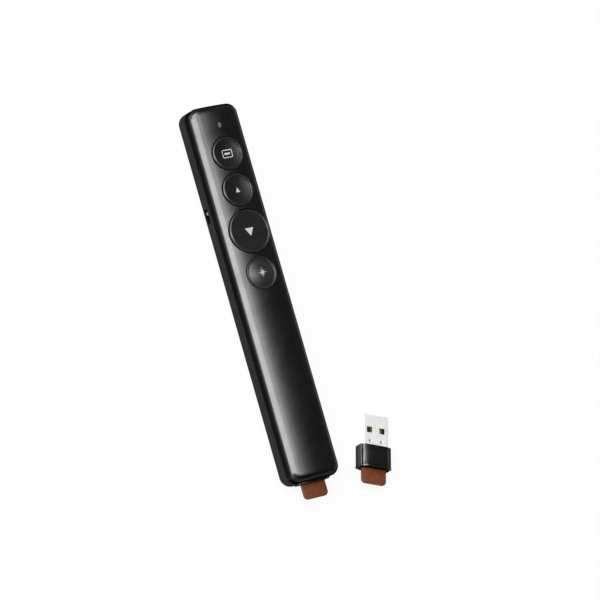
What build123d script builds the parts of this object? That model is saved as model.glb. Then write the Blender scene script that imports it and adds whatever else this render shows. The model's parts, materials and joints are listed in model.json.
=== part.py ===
from build123d import *
from math import atan2, cos, radians, sin, sqrt
import os

# Wireless presentation clicker with its USB receiver docked in the lower end, and a second
# receiver of the same kind lying beside it. Lengths are in millimetres.
# X runs across the body, +Y towards the laser end and +Z up through the keys. The origin is
# on the flat back, at the middle of the body.

# ---------------------------------------------------------------- driving dimensions

# Body
body_length = 157.5
body_width = 22.8
body_depth = 14.6  # to the top of the crown
plan_corner = 4.5
crown_radius = 40.0
cover_edge_round = 3.0
back_edge_round = 3.2

# Mouldings
wall = 1.5
ceiling = 1.4
floor = 1.4
cover_inner_chamfer = 0.9
back_inner_chamfer = 1.1
seam_height = 7.8
seam_gap = 0.3
lip_height = 1.4
lip_wall = 0.7
lip_clearance = 0.1
partition = 1.2
rib = 1.0
boss_radius = 2.1

# General clearances
running_gap = 0.05  # round parts that slide or seat in a bore
slide_gap = 0.15  # flat parts that slide
loose_gap = 0.3

# Keys, with their distance from the laser end
key_gap = 0.2
key_travel = 0.3
key_wall = 1.0
key_plate = 1.3
key_rim_width = 0.8
key_rim_chamfer = 0.3
key_ear_reach = 0.45
key_ear_width = 5.0
key_ear_height = 0.9
key_post_width = 3.0
small_key_diameter = 14.0
page_down_side = 2.15  # from the key to the side of the body
laser_key_diameter = 13.6
small_key_top = 14.95
page_down_top = 14.75
laser_key_top = 14.9
dish_depth = 0.7
flat_face_drop = 0.3
dome_rise = 0.35  # above the rim
dome_moat = 0.5  # below the rim
dome_moat_width = 0.9
screen_key_from_end = 21.05
page_up_from_end = 36.45
page_down_from_end = 53.95
laser_key_from_end = 71.55

# Main board and what it carries
board_thickness = 1.0
board_underside = 6.6
board_side_gap = 0.7
board_corner = 1.0
board_end_from_end = 11.15
board_start_gap = 0.3
switch_size = 4.5
switch_height = 1.5
plunger_radius = 1.0
plunger_depth = 0.6
plunger_rise = 1.0
board_screw_inset_x = 2.3
board_screw_inset_y = 2.6
board_rest_width = 3.0
chip_size = (5.0, 5.0, 0.9)
crystal_size = (3.2, 2.5, 0.7)
passive_size = (1.6, 0.8, 0.5)
passive_pitch_x = 11.2
passive_pitch_y = 4.2
passives_from_end = 45.2
chip_row_from_end = 28.75
chip_row_inset = 3.6  # from the board's sides

# Indicator
indicator_from_end = 8.85
indicator_width = 1.4
indicator_length = 2.0
led_size = (1.6, 0.8, 0.6)
led_from_end = 12.65
pipe_arm_underside = 10.5
pipe_arm_height = 1.1
pipe_foot = 1.4
pipe_led_gap = 0.15
pipe_collar_width = 2.6
pipe_collar_length = 3.2
pipe_collar_height = 0.7

# Laser
laser_height = 7.2
laser_barrel_radius = 3.0
laser_barrel_length = 8.8
laser_nose_gap = 0.1
laser_nose_wall = 0.4
lens_radius = 2.1
lens_edge = 1.0
lens_bulge = 0.5
diode_flange_radius = 2.1
diode_flange_length = 0.8
diode_can_radius = 1.5
diode_can_length = 2.4
diode_lead_width = 0.4
diode_lead_spread = 1.8
diode_lead_overlap = 0.8
bezel_radius = 3.5
bezel_flange = 0.5
bezel_sleeve_radius = 2.7
aperture_radius = 1.7
aperture_chamfer = 0.3
cradle_width = 8.8
cradle_inset = 1.7

# Hooks that hold the cover's laser end
hook_offset = 5.6
hook_width = 2.0
hook_wall = 1.1
hook_underside = 5.4
hook_nose = 0.8
hook_nose_height = 0.8

# Power switch, on the left side
power_from_end = 43.25
power_height = 4.6
power_travel = 2.0
knob_length = 3.6
knob_height = 2.0
knob_plate = 0.5
knob_ridge_height = 1.35
knob_ridge_length = 1.9
knob_recess_depth = 0.9
knob_recess_corner = 0.7
knob_end_gap = 0.3
knob_stem_length = 1.6
knob_stem_height = 1.0
knob_stem_reach = 1.9  # past the inside of the wall
power_body_length = 8.0
power_body_depth = 3.6
power_body_height = 3.4
power_body_gap = 0.7

# Battery, one AAA cell
cell_length = 44.5
cell_radius = 5.25
cell_chamfer = 0.4
cell_nub_length = 1.0
cell_nub_radius = 1.9
cell_nub_chamfer = 0.3
cell_height = 7.25
cell_side_gap = 0.35
spring_length = 2.2
spring_height = 7.0
spring_width = 3.6
spring_thickness = 0.25
contact_thickness = 0.3
contact_size = 8.0
strip_underside = 2.6
strip_height = 2.0
strip_thickness = 0.25
strip_tab = 3.0

# Battery door
door_width = 15.2
door_rail = 0.9
door_recess = 0.1
door_rail_underside = 0.75
door_inner_face = 1.45
door_end_gap = 0.2
rail_deck = 2.4
grip_grooves = 5
grip_pitch = 1.3
grip_groove_width = 0.6
grip_groove_depth = 0.35
grip_length = 9.0
grip_inset = 6.0

# Receiver: a standard USB-A plug with its housing and pull tab
plug_width = 12.0
plug_thickness = 4.5
plug_exposed = 13.1
plug_buried = 4.0
plug_wall = 0.32
plug_corner = 0.7
window_size = 2.5
window_offset = 2.9
window_from_tip = 6.5
tongue_thickness = 1.83
tongue_side_gap = 0.1
tongue_recess = 0.9
pad_width = 1.0
pad_height = 0.15
pad_outer_offset = 3.5
pad_inner_offset = 1.0
pad_tip_inset = 0.6
pad_tail = 0.9
housing_width = 13.9
housing_face_width = 12.3
housing_thickness = 6.6
housing_flank_thickness = 5.0
housing_length = 9.5
housing_end_wall = 1.3
housing_face_round = 0.8
flange_width = 14.6
flange_thickness = 7.0
flange_length = 0.9
flange_round = 1.5
groove_depth = 0.2
groove_width = 0.35
groove_pitch = 0.75
groove_counts = (3, 2)  # at the plug, at the tab
receiver_board_gap = 0.3
receiver_board_width = 10.4
receiver_board_thickness = 0.6
receiver_chip_width = 3.4
receiver_chip_height = 0.8
receiver_chip_gap = 0.4
tab_width = 11.2
tab_thickness = 1.6
tab_exposed = 6.4
tab_buried = 0.85
tab_corner = 1.8
tab_slot_gap = 0.1

# Receiver bay
bay_gap = 0.25
bay_end_gap = 0.4
bay_height = 7.2
receiver_proud = 0.55

# Screws
post_zone = 4.4
case_screw_offset = 5.4
case_screw_grip = 8.0
case_screw_recess = 0.25
board_screw_grip = 3.4
screw_head_radius = 1.4
screw_head_height = 1.1
screw_shank_radius = 0.8

# Loose receiver, beside the lower end
loose_x = 34.5
loose_from_low_end = 7.85
loose_turn = -20.5  # degrees about Z

# ---------------------------------------------------------------- derived places

end_y = body_length / 2
inner_half_width = body_width / 2 - wall
shell_top = seam_height - seam_gap / 2
cover_bottom = seam_height + seam_gap / 2
lip_top = shell_top + lip_height
crown_centre = body_depth - crown_radius

board_top = board_underside + board_thickness
board_width = 2 * (inner_half_width - board_side_gap)
switch_top = board_top + switch_height
plunger_top = switch_top + plunger_rise

indicator_y = end_y - indicator_from_end
led_y = end_y - led_from_end
power_y = end_y - power_from_end
power_body_face = inner_half_width - power_body_gap
knob_stem_end = inner_half_width - knob_stem_reach

plug_base_y = -end_y - receiver_proud + housing_length
receiver_board_length = housing_length - housing_end_wall - plug_buried - receiver_board_gap
plug_tip_y = plug_base_y + plug_exposed
bay_width = flange_width + 2 * bay_gap
bay_thickness = flange_thickness + 2 * bay_gap
bay_floor = bay_height - bay_thickness / 2
bay_roof = bay_height + bay_thickness / 2
bay_end_y = plug_tip_y + bay_end_gap
post_low_y = bay_end_y + partition
post_high_y = post_low_y + post_zone
post_y = (post_low_y + post_high_y) / 2
cell_bay_low_y = post_high_y + partition
cell_low_y = cell_bay_low_y + contact_thickness + spring_length
cell_high_y = cell_low_y + cell_length
cell_bay_high_y = cell_high_y + contact_thickness
cell_bay_half_width = cell_radius + cell_side_gap
board_low_y = cell_bay_high_y + partition + board_start_gap
board_high_y = end_y - board_end_from_end
board_length = board_high_y - board_low_y
board_y = (board_high_y + board_low_y) / 2

laser_nose_y = end_y - wall - laser_nose_gap
laser_rear_y = laser_nose_y - laser_barrel_length
lens_rear_y = laser_nose_y - laser_nose_wall - lens_edge

door_high_y = cell_bay_high_y + partition / 3
channel_roof = door_inner_face + 2 * running_gap
partition_width = board_width - 2 * loose_gap

post_places = ((case_screw_offset, post_y), (-case_screw_offset, post_y))
board_corner_x = board_width / 2 - board_screw_inset_x
board_corner_low_y = board_low_y + board_screw_inset_y
board_corner_high_y = board_high_y - board_screw_inset_y
board_screw_places = ((-board_corner_x, board_corner_low_y), (board_corner_x, board_corner_high_y))
board_rest_places = ((board_corner_x, board_corner_low_y), (-board_corner_x, board_corner_high_y))
key_sizes = {
    "screen": (end_y - screen_key_from_end, small_key_diameter / 2),
    "page_up": (end_y - page_up_from_end, small_key_diameter / 2),
    "page_down": (end_y - page_down_from_end, body_width / 2 - page_down_side),
    "laser": (end_y - laser_key_from_end, laser_key_diameter / 2),
}

os.makedirs("parts", exist_ok=True)


def save(piece, name):
    """Labels a finished piece and writes it as its own STEP file."""
    piece.label = name
    export_step(piece, f"parts/{name}.step")


def section(y):
    """A plane across the body at y. Its own X and Y are the body's X and Z, and it faces -Y."""
    return Plane.XZ.offset(-y)


def side(x):
    """A plane along the body at x. Its own X and Y are the body's Y and Z, and it faces +X."""
    return Plane.YZ.offset(x)


def level(z):
    """A plane at height z. Its own X and Y are the body's X and Y, and it faces +Z."""
    return Plane.XY.offset(z)


# ---------------------------------------------------------------- forms of the casing


def outline(inset):
    """The body's plan outline, moved in by inset. Used inside a sketch."""
    RectangleRounded(body_width - 2 * inset, body_length - 2 * inset, plan_corner - inset)


def crowned_block(side_inset, top_inset, underside):
    """A closed block from underside up to the crown, moved in by the insets."""
    with BuildPart() as block:
        with BuildSketch(level(underside)):
            outline(side_inset)
        extrude(amount=body_depth - underside)
        with BuildSketch(Plane.XZ):
            with Locations((0, crown_centre)):
                Circle(crown_radius - top_inset)
        extrude(amount=body_length, both=True, mode=Mode.INTERSECT)
    return block.part


def tray_block(side_inset, underside, edge_round, top):
    """A closed block from underside to top with its lower edge rounded."""
    with BuildPart() as block:
        with BuildSketch(level(underside)):
            outline(side_inset)
        extrude(amount=top - underside)
        fillet(block.faces().sort_by(Axis.Z)[0].edges(), edge_round)
    return block.part


def cover_hollow():
    """The cover's inside, with a chamfer that follows the rounded edge outside."""
    with BuildPart() as hollow:
        add(crowned_block(wall, ceiling, cover_bottom - 1))
        chamfer(hollow.faces().sort_by(Axis.Z)[-1].edges(), cover_inner_chamfer)
    return hollow.part


def shell_hollow():
    """The shell's inside, with a chamfer that follows the rounded edge outside."""
    with BuildPart() as hollow:
        with BuildSketch(level(floor)):
            outline(wall)
        extrude(amount=lip_top + 1 - floor)
        chamfer(hollow.faces().sort_by(Axis.Z)[0].edges(), back_inner_chamfer)
    return hollow.part


def ceiling_height(x):
    """Height of the cover's inner ceiling at a distance x from the middle."""
    crown_height = crown_centre + sqrt((crown_radius - ceiling) ** 2 - x**2)
    return crown_height - max(0, x + cover_inner_chamfer - inner_half_width)


def end_mouths():
    """The laser's seat and the receiver's mouth, as solids to take out of both mouldings."""
    with BuildPart() as mouths:
        with BuildSketch(section(end_y)):
            with Locations((0, laser_height)):
                Circle(bezel_sleeve_radius + running_gap)
        extrude(amount=wall + rib)
        with BuildSketch(section(end_y)):
            with Locations((0, laser_height)):
                Circle(bezel_radius + running_gap)
        extrude(amount=bezel_flange + running_gap)
        with BuildSketch(section(-end_y)):
            with Locations((0, bay_height)):
                RectangleRounded(bay_width, bay_thickness, flange_round + bay_gap)
        extrude(amount=-wall - rib)
    return mouths.part


# ---------------------------------------------------------------- casing


def front_cover():
    hook_y = end_y - wall - loose_gap
    with BuildPart() as cover:
        add(crowned_block(0, 0, cover_bottom))
        fillet(cover.faces().sort_by(Axis.Z)[-1].edges(), cover_edge_round)
        add(cover_hollow(), mode=Mode.SUBTRACT)
        # rebate that takes the shell's lip
        with BuildSketch(level(cover_bottom)):
            outline(wall - lip_wall - lip_clearance)
        extrude(amount=lip_top + slide_gap - cover_bottom, mode=Mode.SUBTRACT)
        # hooks at the laser end
        with BuildSketch(level(hook_underside)):
            with Locations((hook_offset, hook_y), (-hook_offset, hook_y)):
                Rectangle(hook_width, hook_wall, align=(Align.CENTER, Align.MAX))
        extrude(until=Until.NEXT)
        with BuildSketch(level(hook_underside)):
            with Locations((hook_offset, hook_y - hook_wall / 2), (-hook_offset, hook_y - hook_wall / 2)):
                Rectangle(hook_width, hook_wall / 2 + hook_nose, align=(Align.CENTER, Align.MIN))
        extrude(amount=hook_nose_height)
        # guide ribs over the receiver bay
        with BuildSketch(level(bay_roof)):
            with GridLocations(bay_width + partition, 0, 2, 1):
                with Locations((0, -end_y + wall)):
                    Rectangle(partition, bay_end_y + end_y - wall, align=(Align.CENTER, Align.MIN))
        extrude(until=Until.NEXT)
        # screw bosses that sit on the shell's posts
        with BuildSketch(level(shell_top)):
            with Locations(*post_places):
                Circle(boss_radius)
        extrude(until=Until.NEXT)
        with BuildSketch(level(shell_top)):
            with Locations(*post_places):
                Circle(screw_shank_radius + running_gap)
        pilot_top = case_screw_grip + channel_roof + case_screw_recess + screw_head_height
        extrude(amount=pilot_top + loose_gap - shell_top, mode=Mode.SUBTRACT)
        # key wells and indicator slot
        for key_y, radius in key_sizes.values():
            with BuildSketch(level(lip_top)):
                with Locations((0, key_y)):
                    Circle(radius + key_gap)
            extrude(amount=body_depth - lip_top, mode=Mode.SUBTRACT)
        with BuildSketch(level(lip_top)):
            with Locations((0, indicator_y)):
                SlotOverall(
                    indicator_length + 2 * running_gap, indicator_width + 2 * running_gap, rotation=90
                )
        extrude(amount=body_depth - lip_top, mode=Mode.SUBTRACT)
        add(end_mouths(), mode=Mode.SUBTRACT)
    return cover.part


def back_shell():
    with BuildPart() as shell:
        add(tray_block(0, 0, back_edge_round, shell_top))
        with BuildSketch(level(shell_top)):
            outline(wall - lip_wall)
        extrude(amount=lip_height)
        add(shell_hollow(), mode=Mode.SUBTRACT)
        # deck over the door's channel
        with BuildSketch(level(floor)):
            outline(wall)
            with Locations((0, cell_bay_high_y + partition)):
                Rectangle(body_width, body_length, align=(Align.CENTER, Align.MAX), mode=Mode.INTERSECT)
        extrude(amount=rail_deck - floor)
        # receiver bay: floor, sides and end
        bay_length = bay_end_y + partition + end_y - wall
        with BuildSketch(level(rail_deck)):
            with Locations((0, -end_y + wall)):
                Rectangle(bay_width + 2 * partition, bay_length, align=(Align.CENTER, Align.MIN))
        extrude(amount=bay_floor - rail_deck)
        with BuildSketch(level(bay_floor)):
            with Locations((0, -end_y + wall)):
                Rectangle(bay_width + 2 * partition, bay_length, align=(Align.CENTER, Align.MIN))
                Rectangle(
                    bay_width, bay_length - partition, align=(Align.CENTER, Align.MIN), mode=Mode.SUBTRACT
                )
        extrude(amount=shell_top - bay_floor)
        # battery bay: ends and sides
        with BuildSketch(level(rail_deck)):
            with Locations((0, post_high_y), (0, cell_bay_high_y)):
                Rectangle(partition_width, partition, align=(Align.CENTER, Align.MIN))
            with GridLocations(2 * cell_bay_half_width + rib, 0, 2, 1):
                with Locations((0, cell_bay_high_y)):
                    Rectangle(rib, cell_length + spring_length - 1, align=(Align.CENTER, Align.MAX))
        extrude(amount=shell_top - rail_deck)
        # screw posts
        with BuildSketch(level(rail_deck)):
            with Locations(*post_places):
                Circle(boss_radius)
        extrude(amount=shell_top - rail_deck)
        # supports of the main board: bosses on one diagonal, plain ribs on the other
        with BuildSketch(level(floor)):
            with Locations(*board_screw_places):
                Circle(boss_radius)
            with Locations(*board_rest_places):
                Rectangle(board_rest_width, rib)
        extrude(amount=board_underside - floor)
        with BuildSketch(level(board_underside)):
            with Locations(*board_screw_places):
                Circle(screw_shank_radius + running_gap)
        extrude(amount=-board_screw_grip, mode=Mode.SUBTRACT)
        # cradles of the laser barrel
        for cradle_y in (laser_rear_y + cradle_inset, laser_nose_y - cradle_inset):
            with BuildSketch(section(cradle_y + rib / 2)):
                with Locations((0, floor)):
                    Rectangle(cradle_width, laser_height - floor, align=(Align.CENTER, Align.MIN))
                with Locations((0, laser_height)):
                    Circle(laser_barrel_radius + running_gap, mode=Mode.SUBTRACT)
            extrude(amount=rib)
        # door channel, open at the lower end, and the battery's way out
        channel_length = door_high_y + door_end_gap + end_y
        with BuildSketch(section(-end_y)):
            Rectangle(
                door_width + 2 * slide_gap,
                2 * channel_roof,
            )
            with Locations((0, door_rail_underside - 2 * running_gap)):
                Rectangle(
                    door_width + 2 * (door_rail + slide_gap),
                    channel_roof - door_rail_underside + 2 * running_gap,
                    align=(Align.CENTER, Align.MIN),
                )
        extrude(amount=-channel_length, mode=Mode.SUBTRACT)
        with BuildSketch(level(channel_roof)):
            with Locations((0, cell_bay_low_y)):
                Rectangle(
                    2 * cell_bay_half_width,
                    cell_bay_high_y - cell_bay_low_y,
                    align=(Align.CENTER, Align.MIN),
                )
        extrude(amount=rail_deck - channel_roof, mode=Mode.SUBTRACT)
        # case screw seats, bored from the channel
        for radius, depth in (
            (screw_head_radius + slide_gap, case_screw_recess + screw_head_height),
            (screw_shank_radius + running_gap, shell_top - channel_roof),
        ):
            with BuildSketch(level(channel_roof)):
                with Locations(*post_places):
                    Circle(radius)
            extrude(amount=depth, mode=Mode.SUBTRACT)
        # power switch: recess outside, slot through the wall
        with BuildSketch(side(knob_recess_depth - body_width / 2)):
            with Locations((power_y, power_height)):
                RectangleRounded(
                    knob_length + power_travel + 2 * knob_end_gap,
                    knob_height + 2 * slide_gap,
                    knob_recess_corner,
                )
        extrude(amount=-knob_recess_depth, mode=Mode.SUBTRACT)
        with BuildSketch(side(-body_width / 2)):
            with Locations((power_y, power_height)):
                Rectangle(
                    knob_stem_length + power_travel + 2 * knob_end_gap,
                    knob_stem_height + 2 * slide_gap,
                )
        extrude(amount=wall, mode=Mode.SUBTRACT)
        # pockets that take the cover's hooks
        with BuildSketch(section(end_y - wall)):
            with Locations((hook_offset, hook_underside), (-hook_offset, hook_underside)):
                with Locations((0, hook_nose_height / 2)):
                    Rectangle(hook_width + 2 * loose_gap, hook_nose_height + 2 * loose_gap)
        extrude(amount=-(hook_nose - loose_gap + slide_gap), mode=Mode.SUBTRACT)
        add(end_mouths(), mode=Mode.SUBTRACT)
    return shell.part


def battery_door():
    with BuildPart() as door:
        add(tray_block(door_recess, door_recess, back_edge_round - door_recess, shell_top))
        with BuildSketch(section(-end_y)):
            Rectangle(door_width, 2 * door_inner_face)
            with Locations((0, door_rail_underside)):
                Rectangle(
                    door_width + 2 * door_rail,
                    door_inner_face - door_rail_underside,
                    align=(Align.CENTER, Align.MIN),
                )
        extrude(amount=-(end_y + door_high_y), mode=Mode.INTERSECT)
        with BuildSketch(level(door_recess)):
            with Locations((0, door_high_y - grip_inset)):
                with GridLocations(0, grip_pitch, 1, grip_grooves):
                    Rectangle(grip_length, grip_groove_width)
        extrude(amount=grip_groove_depth, mode=Mode.SUBTRACT)
    return door.part


# ---------------------------------------------------------------- keys


def keycap(key_y, radius, rim_top, face):
    """A round key cap: face is "dish", "flat" or "dome". Two ears under the cover keep it in."""
    ear_radius = radius + key_ear_reach
    ear_top = ceiling_height(ear_radius) - slide_gap
    skirt_bottom = ear_top - key_ear_height
    face_radius = radius - key_rim_width
    if face == "dish":
        middle = rim_top - dish_depth
    elif face == "flat":
        middle = rim_top - flat_face_drop
    else:
        middle = rim_top - dome_moat
    plate_underside = middle - key_plate
    with BuildPart() as cap:
        with BuildSketch(section(key_y)):
            with BuildLine():
                if face == "dish":
                    TangentArc((0, middle), (face_radius, rim_top), tangent=(1, 0))
                elif face == "flat":
                    Polyline((0, middle), (face_radius - flat_face_drop, middle), (face_radius, rim_top))
                else:
                    dome_radius = face_radius - dome_moat_width
                    TangentArc((0, rim_top + dome_rise), (dome_radius, middle), tangent=(1, 0))
                    Line((dome_radius, middle), (face_radius, rim_top))
                Polyline(
                    (face_radius, rim_top),
                    (radius - key_rim_chamfer, rim_top),
                    (radius, rim_top - key_rim_chamfer),
                    (radius, skirt_bottom),
                    (radius - key_wall, skirt_bottom),
                    (radius - key_wall, plate_underside),
                    (0, plate_underside),
                )
                face_middle = rim_top + dome_rise if face == "dome" else middle
                Line((0, plate_underside), (0, face_middle))
            make_face()
        revolve(axis=Axis((0, key_y, 0), (0, 0, 1)))
        with BuildSketch(level(skirt_bottom)):
            with Locations((0, key_y)):
                Circle(ear_radius)
                Rectangle(2 * ear_radius, key_ear_width, mode=Mode.INTERSECT)
                Circle(radius - key_wall / 2, mode=Mode.SUBTRACT)
        extrude(amount=key_ear_height)
        with BuildSketch(level(plunger_top)):
            with Locations((0, key_y)):
                Rectangle(key_post_width, key_post_width)
        extrude(amount=plate_underside - plunger_top)
    return cap.part


def switch_plunger(key_y):
    with BuildPart() as plunger:
        with BuildSketch(level(switch_top - plunger_depth)):
            with Locations((0, key_y)):
                Circle(plunger_radius)
        extrude(amount=plunger_depth + plunger_rise)
    return plunger.part


def switch_bodies():
    well_depth = plunger_depth + key_travel + running_gap
    well_width = 2 * (plunger_radius + running_gap)
    key_spots = [(0, key_y) for key_y, radius in key_sizes.values()]
    with BuildPart() as bodies:
        with BuildSketch(level(board_top)):
            with Locations(*key_spots):
                Rectangle(switch_size, switch_size)
        extrude(amount=switch_height)
        with BuildSketch(level(switch_top)):
            with Locations(*key_spots):
                Rectangle(well_width, well_width)
        extrude(amount=-well_depth, mode=Mode.SUBTRACT)
    return bodies.part


# ---------------------------------------------------------------- main board


def main_board():
    with BuildPart() as board:
        with BuildSketch(level(board_underside)):
            with Locations((0, board_y)):
                RectangleRounded(board_width, board_length, board_corner)
            with Locations(*board_screw_places):
                Circle(screw_shank_radius + slide_gap, mode=Mode.SUBTRACT)
        extrude(amount=board_thickness)
    return board.part


def board_block(size, places):
    """Blocks of one size soldered on top of the board at the given places."""
    with BuildPart() as blocks:
        with BuildSketch(level(board_top)):
            with Locations(*places):
                Rectangle(size[0], size[1])
        extrude(amount=size[2])
    return blocks.part


def board_passives():
    passives_y = end_y - passives_from_end
    with BuildPart() as passives:
        with BuildSketch(level(board_top)):
            with Locations((0, passives_y)):
                with GridLocations(passive_pitch_x, passive_pitch_y, 2, 4):
                    Rectangle(passive_size[0], passive_size[1])
        extrude(amount=passive_size[2])
    return passives.part


def screws(places, head_seat, up, grip):
    """Pan head screws standing at the given places. They point along +Z if up is 1, else -Z."""
    with BuildPart() as group:
        with BuildSketch(level(head_seat)):
            with Locations(*places):
                Circle(screw_head_radius)
        extrude(amount=-up * screw_head_height)
        with BuildSketch(level(head_seat)):
            with Locations(*places):
                Circle(screw_shank_radius)
        extrude(amount=up * grip)
    return group.part


# ---------------------------------------------------------------- indicator and laser


def light_pipe():
    with BuildPart() as pipe:
        with BuildSketch(level(pipe_arm_underside)):
            with Locations((0, indicator_y)):
                SlotOverall(indicator_length, indicator_width, rotation=90)
        extrude(amount=body_depth - pipe_arm_underside)
        collar_top = ceiling_height(pipe_collar_width / 2) - running_gap
        with BuildSketch(level(collar_top)):
            with Locations((0, indicator_y)):
                Rectangle(pipe_collar_width, pipe_collar_length)
        extrude(amount=-pipe_collar_height)
        with BuildSketch(level(pipe_arm_underside)):
            with Locations((0, led_y - pipe_foot / 2)):
                Rectangle(
                    indicator_width,
                    indicator_y - led_y + pipe_foot / 2,
                    align=(Align.CENTER, Align.MIN),
                )
        extrude(amount=pipe_arm_height)
        with BuildSketch(level(pipe_arm_underside)):
            with Locations((0, led_y)):
                Rectangle(indicator_width, pipe_foot)
        extrude(amount=board_top + led_size[2] + pipe_led_gap - pipe_arm_underside)
    return pipe.part


def laser_barrel():
    with BuildPart() as barrel:
        with BuildSketch(section(laser_nose_y)):
            with Locations((0, laser_height)):
                Circle(laser_barrel_radius)
                Circle(aperture_radius, mode=Mode.SUBTRACT)
        extrude(amount=laser_barrel_length)
        with BuildSketch(section(laser_rear_y)):
            with Locations((0, laser_height)):
                Circle(lens_radius + running_gap)
        extrude(amount=laser_nose_wall - laser_barrel_length, mode=Mode.SUBTRACT)
    return barrel.part


def laser_lens():
    with BuildPart() as lens:
        with BuildSketch(side(0)):
            with BuildLine():
                nose = (lens_rear_y + lens_edge, laser_height + lens_radius)
                Polyline(
                    (lens_rear_y - lens_bulge, laser_height),
                    (lens_rear_y + lens_edge, laser_height),
                    nose,
                    (lens_rear_y, laser_height + lens_radius),
                )
                TangentArc(
                    (lens_rear_y - lens_bulge, laser_height),
                    (lens_rear_y, laser_height + lens_radius),
                    tangent=(0, 1),
                )
            make_face()
        revolve(axis=Axis((0, 0, laser_height), (0, 1, 0)))
    return lens.part


def laser_diode():
    with BuildPart() as diode:
        with BuildSketch(section(laser_rear_y)):
            with Locations((0, laser_height)):
                Circle(diode_flange_radius)
        extrude(amount=-diode_flange_length)
        with BuildSketch(section(laser_rear_y + diode_flange_length)):
            with Locations((0, laser_height)):
                Circle(diode_can_radius)
        extrude(amount=-diode_can_length)
        with BuildSketch(section(laser_rear_y)):
            with Locations((0, board_top + diode_lead_width / 2)):
                with GridLocations(diode_lead_spread, 0, 2, 1):
                    Rectangle(diode_lead_width, diode_lead_width)
        extrude(amount=laser_rear_y - board_high_y + diode_lead_overlap)
    return diode.part


def laser_bezel():
    with BuildPart() as bezel:
        with BuildSketch(section(end_y)):
            with Locations((0, laser_height)):
                Circle(bezel_radius)
        extrude(amount=bezel_flange)
        with BuildSketch(section(end_y)):
            with Locations((0, laser_height)):
                Circle(bezel_sleeve_radius)
        extrude(amount=wall)
        with BuildSketch(section(end_y)):
            with Locations((0, laser_height)):
                Circle(aperture_radius)
        extrude(amount=wall, mode=Mode.SUBTRACT)
        mouth = bezel.faces().sort_by(Axis.Y)[-1].edges().sort_by(SortBy.RADIUS)[0]
        chamfer(mouth, aperture_chamfer)
    return bezel.part


# ---------------------------------------------------------------- power switch


def power_switch_body():
    with BuildPart() as body:
        with BuildSketch(level(board_underside)):
            with Locations((-power_body_face, power_y)):
                Rectangle(power_body_depth, power_body_length, align=(Align.MIN, Align.CENTER))
        extrude(amount=-power_body_height)
        with BuildSketch(side(-power_body_face)):
            with Locations((power_y, power_height)):
                Rectangle(
                    knob_stem_length + power_travel + 2 * knob_end_gap,
                    knob_stem_height + 2 * slide_gap,
                )
        extrude(amount=power_body_face - knob_stem_end + slide_gap, mode=Mode.SUBTRACT)
    return body.part


def power_knob():
    knob_y = power_y + power_travel / 2
    knob_face = knob_recess_depth - running_gap - body_width / 2
    half_ridge = knob_ridge_length / 2
    with BuildPart() as knob:
        with BuildSketch(level(power_height - knob_height / 2)):
            with Locations((knob_face, knob_y)):
                Rectangle(knob_plate, knob_length, align=(Align.MAX, Align.CENTER))
            with BuildLine():
                plate_face = knob_face - knob_plate
                low = (plate_face, knob_y - half_ridge)
                high = (plate_face, knob_y + half_ridge)
                ThreePointArc(low, (knob_face - knob_ridge_height, knob_y), high)
                Line(high, low)
            make_face()
        extrude(amount=knob_height)
        with BuildSketch(side(knob_face)):
            with Locations((knob_y, power_height)):
                Rectangle(knob_stem_length, knob_stem_height)
        extrude(amount=-knob_stem_end - knob_face)
    return knob.part


# ---------------------------------------------------------------- battery


def battery_can():
    with BuildPart() as can:
        with BuildSketch(section(cell_low_y)):
            with Locations((0, cell_height)):
                Circle(cell_radius)
        extrude(amount=-(cell_length - cell_nub_length))
        chamfer(can.edges().filter_by(GeomType.CIRCLE), cell_chamfer)
    return can.part


def battery_cap():
    with BuildPart() as cap:
        with BuildSketch(section(cell_high_y)):
            with Locations((0, cell_height)):
                Circle(cell_nub_radius)
        extrude(amount=cell_nub_length)
        chamfer(cap.faces().sort_by(Axis.Y)[-1].edges(), cell_nub_chamfer)
    return cap.part


def contact_spring():
    """A bowed leaf between the negative plate and the cell."""
    root_y = cell_bay_low_y + contact_thickness
    low_z = cell_height - spring_height / 2
    high_z = cell_height + spring_height / 2
    with BuildPart() as spring:
        with BuildSketch(side(-spring_width / 2)):
            with BuildLine():
                ThreePointArc((root_y, low_z), (cell_low_y, cell_height), (root_y, high_z))
                Line((root_y, high_z), (root_y, high_z - spring_thickness))
                ThreePointArc(
                    (root_y, high_z - spring_thickness),
                    (cell_low_y - spring_thickness, cell_height),
                    (root_y, low_z + spring_thickness),
                )
                Line((root_y, low_z + spring_thickness), (root_y, low_z))
            make_face()
        extrude(amount=spring_width)
    return spring.part


def negative_contact():
    """The plate behind the spring, with a strip along the shell to the edge of the board."""
    strip_x = board_width / 2
    tab_end_y = board_low_y + board_corner + strip_tab
    with BuildPart() as contact:
        with BuildSketch(section(cell_bay_low_y)):
            with Locations((0, cell_height)):
                Rectangle(contact_size, contact_size)
            with Locations((-strip_x - strip_thickness, strip_underside)):
                Rectangle(strip_x, strip_height, align=(Align.MIN, Align.MIN))
        extrude(amount=-contact_thickness)
        with BuildSketch(side(-strip_x)):
            with Locations((cell_bay_low_y, strip_underside)):
                Rectangle(tab_end_y - cell_bay_low_y, strip_height, align=(Align.MIN, Align.MIN))
            with Locations((tab_end_y, strip_underside)):
                Rectangle(strip_tab, board_top - strip_underside, align=(Align.MAX, Align.MIN))
        extrude(amount=-strip_thickness)
    return contact.part


def positive_contact():
    """The plate at the cell's nub, with a tab over the partition onto the board."""
    with BuildPart() as contact:
        with BuildSketch(section(cell_high_y)):
            with Locations((0, cell_height)):
                Rectangle(contact_size, contact_size)
        extrude(amount=-contact_thickness)
        with BuildSketch(level(shell_top)):
            with Locations((0, cell_high_y)):
                Rectangle(
                    strip_height,
                    contact_thickness + partition + board_start_gap + strip_height,
                    align=(Align.CENTER, Align.MIN),
                )
        extrude(amount=contact_thickness)
    return contact.part


# ---------------------------------------------------------------- receiver


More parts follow.
